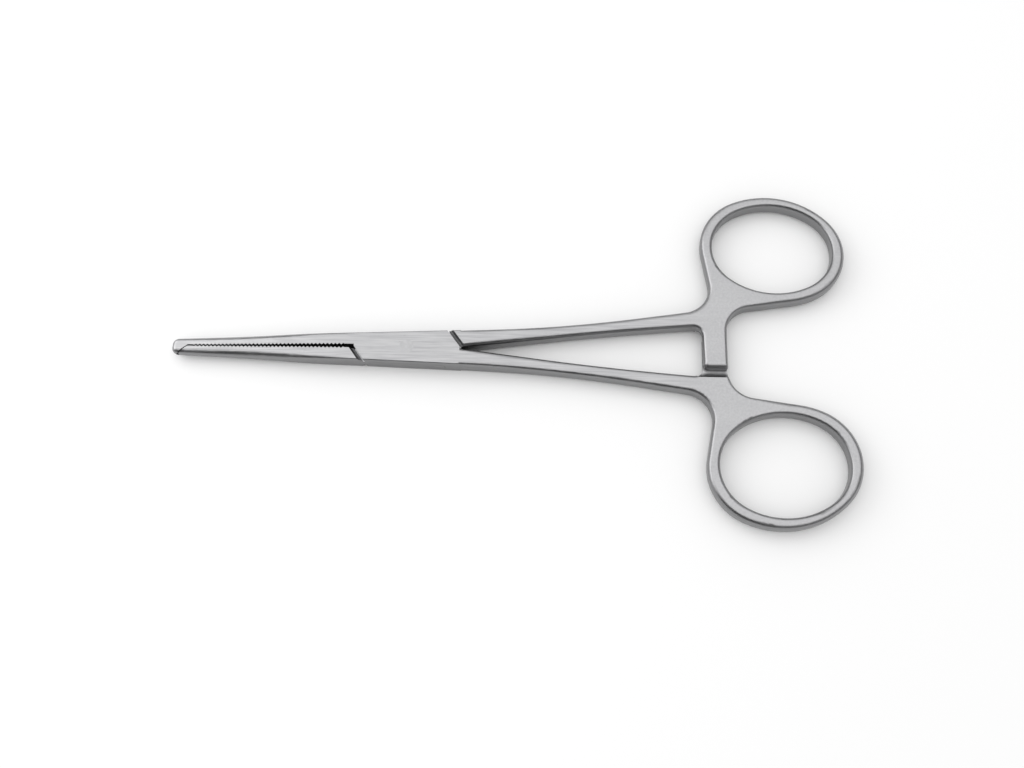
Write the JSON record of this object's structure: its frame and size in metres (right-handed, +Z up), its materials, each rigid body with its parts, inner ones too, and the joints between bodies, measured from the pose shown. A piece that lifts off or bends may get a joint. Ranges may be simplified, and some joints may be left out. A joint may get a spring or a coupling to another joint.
{
  "type": "hemostat forceps",
  "caption": "Box-lock hemostat forceps with serrated jaws, a toothed tip, ratchet arms and finger rings, opening on a flush pivot pin.",
  "frame": {"origin": "on the pivot axis, in the plane that the underside of the box lock rests on", "axes": "+X from the pivot to the finger rings, +Y to the upper ring's side, +Z up, along the pivot pin"},
  "size_m": [0.1396, 0.071, 0.004],
  "materials": {
    "satin_steel": "fine satin brushing along the length",
    "pin_steel": "ground flush with the box lock"
  },
  "bodies": {
    "female_body": {"female_half": "satin_steel", "box_lock_pin": "pin_steel"},
    "male_body": {"male_half": "satin_steel"}
  },
  "joints": [
    {"name": "box_lock_hinge", "type": "hinge", "parent": "female_body", "child": "male_body", "pos_m": [0, 0, 0.002], "axis": [0, 0, 1], "range_deg": [0, 50]}
  ]
}
